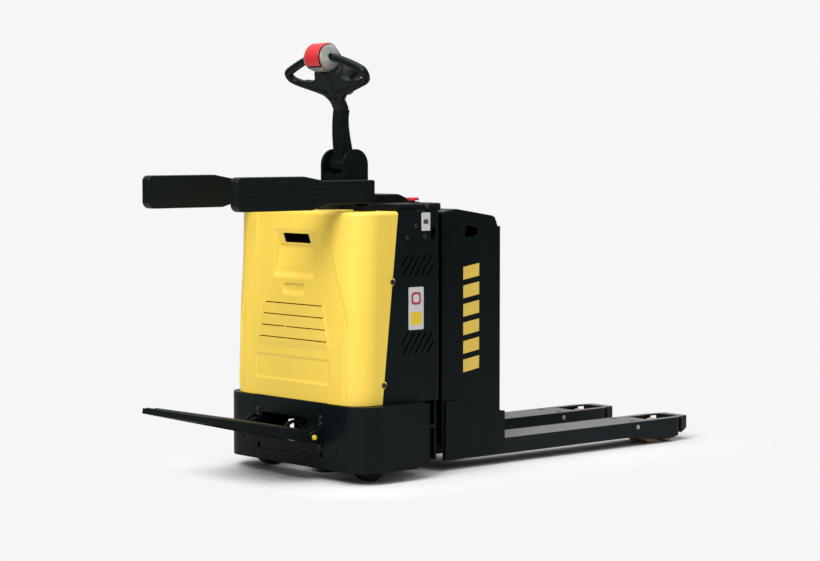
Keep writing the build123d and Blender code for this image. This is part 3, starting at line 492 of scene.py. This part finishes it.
def turned(name, profile, place, axis, slot, body, steps=48):
    """A lathe-turned piece: profile holds (radius, height) pairs along the axis from place."""
    shape = bmesh.new()
    turn = Vector((0, 0, 1)).rotation_difference(Vector(axis).normalized())
    rings = []
    for radius, height in profile:
        if radius < 1e-7:
            rings.append([shape.verts.new(place + turn @ Vector((0, 0, height)))])
            continue
        ring = []
        for step in range(steps):
            angle = 2 * math.pi * step / steps
            ring.append(shape.verts.new(place + turn @ Vector((radius * math.cos(angle), radius * math.sin(angle),
                                                               height))))
        rings.append(ring)
    for low, high in zip(rings, rings[1:]):
        for step in range(steps):
            corners = [low[step % len(low)], low[(step + 1) % len(low)], high[(step + 1) % len(high)],
                       high[step % len(high)]]
            unique = list(dict.fromkeys(corners))
            if len(unique) > 2:
                shape.faces.new(unique)
    return solid_piece(name, shape, slot, body)


def moulding_screws():
    for word, side in (("left", 1), ("right", -1)):
        head = [(0.0, -0.002), (0.010, -0.002), (0.010, 0.003), (0.0085, 0.005), (0.004, 0.0055), (0.0038, 0.002),
                (0.0, 0.002)]
        screw = turned("moulding_screw_" + word, head, spot(0.347, side * 0.345, 0.9575), (0, side, 0),
                       "dark_fastener", "power_unit")
        screw.modifiers.new("shading", "WEIGHTED_NORMAL")


# ---------------------------------------------------------------- tiller head

HEAD_ROOT = spot(0.242, 0, 1.300)
HEAD_LEAN = math.radians(25)
HUB_FORWARD, HUB_UP = -0.004, 0.205


def on_head(forward, across, up):
    """A point of the head: forward and up are measured in the leaning head's own plane."""
    return HEAD_ROOT + Vector((forward * math.cos(HEAD_LEAN) - up * math.sin(HEAD_LEAN), across,
                               forward * math.sin(HEAD_LEAN) + up * math.cos(HEAD_LEAN)))


def curve_points(controls, steps):
    """Points and radii along a smooth curve through control rows of (forward, across, up, radius)."""
    rows = [controls[0], *controls, controls[-1]]
    found = []
    for a, b, c, d in zip(rows, rows[1:], rows[2:], rows[3:]):
        for step in range(steps):
            t = step / steps
            found.append([0.5 * (2 * q + (r - p) * t + (2 * p - 5 * q + 4 * r - s) * t * t
                                 + (3 * q - p - 3 * r + s) * t ** 3) for p, q, r, s in zip(a, b, c, d)])
    return found + [list(controls[-1])]


def ball_run(shape, controls, flatten=1.0, steps=10):
    """Adds a chain of overlapping balls along a curve, which the remesh melts into one limb."""
    for forward, across, up, radius in curve_points(controls, steps):
        ball = bmesh.ops.create_icosphere(shape, subdivisions=2, radius=radius)
        turn = Matrix.Rotation(-HEAD_LEAN, 4, "Y") @ Matrix.Diagonal((flatten, 1, 1, 1))
        bmesh.ops.transform(shape, matrix=Matrix.Translation(on_head(forward, across, up)) @ turn,
                            verts=ball["verts"])


def slab(shape, outline, half):
    """Adds a flat plate in the head's plane, from (across, up) points."""
    near = [shape.verts.new(on_head(-half, y, z)) for y, z in outline]
    far = [shape.verts.new(on_head(half, y, z)) for y, z in outline]
    shape.faces.new(near)
    shape.faces.new(list(reversed(far)))
    for i in range(len(outline)):
        j = (i + 1) % len(outline)
        shape.faces.new((near[j], near[i], far[i], far[j]))


def tiller_head():
    shape = bmesh.new()
    body = [(0.023, -0.002), (0.028, 0.034), (0.060, 0.062), (0.125, 0.084), (0.185, 0.106), (0.150, 0.118),
            (0.100, 0.113), (0.074, 0.127), (0.066, 0.150), (0.040, 0.168)]
    slab(shape, body + [(-y, z) for y, z in reversed(body)], 0.0125)
    for side in (1, -1):
        grip = [(-0.004, side * 0.064, HUB_UP, 0.0125), (-0.004, side * 0.080, 0.201, 0.0148),
                (-0.005, side * 0.140, 0.182, 0.0155), (-0.010, side * 0.196, 0.161, 0.0160),
                (-0.012, side * 0.211, 0.150, 0.0160), (-0.008, side * 0.209, 0.130, 0.0155),
                (0.000, side * 0.188, 0.111, 0.0150), (0.002, side * 0.130, 0.094, 0.0165),
                (0.002, side * 0.070, 0.078, 0.0180), (0.002, side * 0.030, 0.066, 0.0200)]
        ball_run(shape, grip, steps=9)
        rib = [(-0.006, side * 0.018, 0.004, 0.0125), (-0.004, side * 0.024, 0.040, 0.0130),
               (0.0, side * 0.050, 0.068, 0.0150)]
        ball_run(shape, rib, steps=6)
    slab(shape, [(0.0215, -0.006), (0.0215, 0.020), (0.020, 0.052), (-0.020, 0.052), (-0.0215, 0.020),
                 (-0.0215, -0.006)], 0.0185)
    ball_run(shape, [(0.030, 0, 0.172, 0.026), (0.034, 0, 0.190, 0.027)], steps=4)
    for side in (1, -1):
        hood = [(0.016, side * 0.060, 0.112, 0.026), (0.048, side * 0.046, 0.122, 0.036),
                (0.080, side * 0.034, 0.112, 0.036), (0.046, side * 0.018, 0.066, 0.028)]
        ball_run(shape, hood, steps=9)
    for side in (1, -1):
        brow = [(0.004, side * 0.030, 0.158, 0.020), (0.028, side * 0.030, 0.168, 0.022),
                (0.036, side * 0.026, 0.192, 0.021), (0.030, side * 0.020, 0.214, 0.017)]
        ball_run(shape, brow, steps=7)
        ball_run(shape, [(0.004, side * 0.052, 0.142, 0.017), (0.026, side * 0.040, 0.160, 0.016)], steps=7)
    ball_run(shape, [(0.002, 0, 0.012, 0.020), (0.002, 0, 0.060, 0.024), (0.0, 0, 0.110, 0.026),
                     (-0.002, 0, 0.150, 0.026)], flatten=0.85, steps=6)
    mesh = bpy.data.meshes.new("tiller_head_body")
    shape.to_mesh(mesh)
    shape.free()
    mesh.materials.append(MATERIALS["black_plastic"])
    head = bpy.data.objects.new("tiller_head_body", mesh)
    scene.collection.objects.link(head)
    melt = head.modifiers.new("melt", "REMESH")
    melt.mode = "VOXEL"
    melt.voxel_size = 0.0026
    melt.use_smooth_shade = True
    even = head.modifiers.new("even", "SMOOTH")
    even.factor = 0.5
    even.iterations = 9
    apply_modifiers(head)
    for face in head.data.polygons:
        face.use_smooth = True
    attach(head, "tiller")
    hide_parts("tiller_head")
    hub = on_head(HUB_FORWARD, 0, HUB_UP)
    core = [(0.0, -0.0404), (0.037, -0.0404), (0.040, -0.0375), (0.040, 0.0375), (0.037, 0.0404), (0.0, 0.0404)]
    turned("hub_core", core, hub, (0, 1, 0), "black_plastic", "tiller", steps=72)


def arc_shell(name, start, stop, inner, outer, half, slot, body, steps=40):
    """A curved shell round the hub between two angles, with rounded edges. 0 points up the head."""
    shape = bmesh.new()
    edge = (outer - inner) * 0.45
    section = [(inner, -half), (outer - edge, -half), (outer, -half + edge), (outer, half - edge),
               (outer - edge, half), (inner, half)]
    rings = []
    for step in range(steps + 1):
        angle = math.radians(start + (stop - start) * step / steps)
        rings.append([shape.verts.new(on_head(HUB_FORWARD - r * math.sin(angle), y, HUB_UP + r * math.cos(angle)))
                      for r, y in section])
    for low, high in zip(rings, rings[1:]):
        for i in range(len(section)):
            j = (i + 1) % len(section)
            shape.faces.new((low[i], low[j], high[j], high[i]))
    shape.faces.new(rings[0])
    shape.faces.new(rings[-1])
    piece = solid_piece(name, shape, slot, body)
    soften(piece, 0.0014, 25)
    return piece


def head_controls():
    button = arc_shell("belly_shell", -36, 104, 0.0462, 0.0512, 0.0385, "red_button", "belly")
    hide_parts("belly_button")
    arc_shell("hub_apron", 116, 170, 0.0405, 0.0500, 0.0340, "grey_control", "tiller")
    arc_shell("hub_back", -78, -42, 0.0405, 0.0560, 0.0370, "grey_control", "tiller")
    for number, side in enumerate((1, -1)):
        dome = [(0.0125, 0.0412), (0.0430, 0.0412), (0.0452, 0.0428), (0.0452, 0.0450), (0.0438, 0.0490),
                (0.0400, 0.0540), (0.0330, 0.0590), (0.0240, 0.0618), (0.0160, 0.0625), (0.0125, 0.0600),
                (0.0125, 0.0412)]
        wing = turned("wing_" + ("left" if side > 0 else "right"), dome, on_head(HUB_FORWARD, 0, HUB_UP),
                      (0, side, 0), "grey_control", "butterfly", steps=96)
        scoop = on_head(HUB_FORWARD - 0.012, side * 0.085, HUB_UP + 0.030)
        for vertex in wing.data.vertices:
            reach = (vertex.co - scoop).length
            if abs(vertex.co.y) > 0.0455:
                vertex.co.y -= side * 0.010 * smooth(0.048, 0.024, reach)
        if number == 0:
            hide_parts("throttle")
        wing.modifiers.new("shading", "WEIGHTED_NORMAL")


motor_cover()
grip_pocket()
labels_and_stripes()
moulding_screws()
tiller_head()
head_controls()


# ---------------------------------------------------------------- floor, light and background

FLOOR_TONE = 0.80
FLOOR_BOUNCE = 0.70
SHADOW_REACH = 0.30


def pale_floor():
    """A pale floor that holds the soft shadow, and fades into the background close to the truck."""
    mesh = bpy.data.meshes.new("floor")
    shape = bmesh.new()
    bmesh.ops.create_circle(shape, cap_ends=True, radius=4.0, segments=96)
    shape.to_mesh(mesh)
    shape.free()
    floor = bpy.data.objects.new("floor", mesh)
    floor.location = (0, 0, TRUCK_LOW.z - 0.0002)
    scene.collection.objects.link(floor)
    material = bpy.data.materials.new("floor")
    material.use_nodes = True
    graph = Graph(material.node_tree)
    place = graph.add("ShaderNodeTexCoord").outputs["Object"]
    parts = graph.add("ShaderNodeSeparateXYZ", {0: place}).outputs
    low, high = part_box("chassis_frame")[0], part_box("fork_left")[1]
    along = graph.maths("ABSOLUTE", graph.maths("SUBTRACT", parts["X"], (low[0] + high[0]) / 2))
    along = graph.maths("MAXIMUM", graph.maths("SUBTRACT", along, (high[0] - low[0]) / 2), 0.0)
    across = graph.maths("SUBTRACT", graph.maths("ABSOLUTE", parts["Y"]), TRUCK_HIGH.y)
    across = graph.maths("MAXIMUM", across, 0.0)
    reach = graph.maths("POWER", graph.maths("ADD", graph.maths("POWER", along, 2.0),
                                             graph.maths("POWER", across, 2.0)), 0.5)
    shown = graph.ramp(reach, SHADOW_REACH, 0.02)
    away = graph.maths("SUBTRACT", 1.0, graph.add("ShaderNodeLightPath").outputs["Is Camera Ray"])
    shown = graph.maths("MAXIMUM", shown, away)
    mottle = graph.ramp(graph.noise(place, 3.0), 0.3, 0.7, 0.0, 1.0)
    tint = graph.mix(mottle, (FLOOR_TONE - 0.004,) * 3 + (1,), (FLOOR_TONE + 0.004,) * 3 + (1,))
    dim = graph.mix(away, (1, 1, 1, 1), (FLOOR_BOUNCE,) * 3 + (1,))
    tint = graph.add("ShaderNodeVectorMath", {0: tint, 1: dim}, operation="MULTIPLY").outputs[0]
    matt = graph.add("ShaderNodeBsdfDiffuse", {"Color": tint})
    clear = graph.add("ShaderNodeBsdfTransparent")
    mixed = graph.add("ShaderNodeMixShader", {0: shown, 1: clear.outputs[0], 2: matt.outputs[0]})
    output = graph.add("ShaderNodeOutputMaterial")
    graph.join(mixed.outputs[0], output.inputs["Surface"])
    mesh.materials.append(material)


def studio_world():
    """Pale behind the truck, and a softer gradient for the light that falls on it."""
    world = bpy.data.worlds.new("studio")
    world.use_nodes = True
    graph = Graph(world.node_tree)
    way = graph.add("ShaderNodeTexCoord").outputs["Generated"]
    parts = graph.add("ShaderNodeSeparateXYZ", {0: way}).outputs
    behind = (-math.sin(math.radians(AZIMUTH)), math.cos(math.radians(AZIMUTH)), 0.0)
    facing = graph.add("ShaderNodeVectorMath", {0: way, 1: behind}, operation="DOT_PRODUCT").outputs["Value"]
    back = graph.ramp(facing, 0.70, 0.97, 0.0, 0.80)
    above = graph.ramp(parts["Z"], 0.0, 0.9, 0.05, 0.85)
    glow = graph.maths("MAXIMUM", back, above)
    lit = graph.add("ShaderNodeBackground", {"Color": (1, 1, 1, 1), "Strength": glow})
    seen = graph.add("ShaderNodeBackground", {"Color": (0.922, 0.922, 0.922, 1), "Strength": 1.0})
    ray = graph.add("ShaderNodeLightPath").outputs["Is Camera Ray"]
    mixed = graph.add("ShaderNodeMixShader", {0: ray, 1: lit.outputs[0], 2: seen.outputs[0]})
    output = graph.add("ShaderNodeOutputWorld")
    graph.join(mixed.outputs[0], output.inputs["Surface"])
    scene.world = world


def softbox(name, place, aim, size, power):
    light = bpy.data.lights.new(name, "AREA")
    light.shape = "RECTANGLE"
    light.size, light.size_y = size
    light.energy = power
    lamp = bpy.data.objects.new(name, light)
    lamp.location = place
    lamp.rotation_euler = (Vector(aim) - Vector(place)).to_track_quat("-Z", "Y").to_euler()
    scene.collection.objects.link(lamp)


pale_floor()
studio_world()
softbox("light_above", spot(0.4, -0.3, 4.2), spot(0.6, 0, 0), (4.0, 3.4), 70)
softbox("light_front", spot(-3.6, -1.8, 3.6), spot(0, 0, 0.6), (2.4, 2.0), 210)
softbox("light_side", spot(1.2, -4.6, 3.4), spot(0.6, 0, 0.4), (3.0, 2.0), 15)
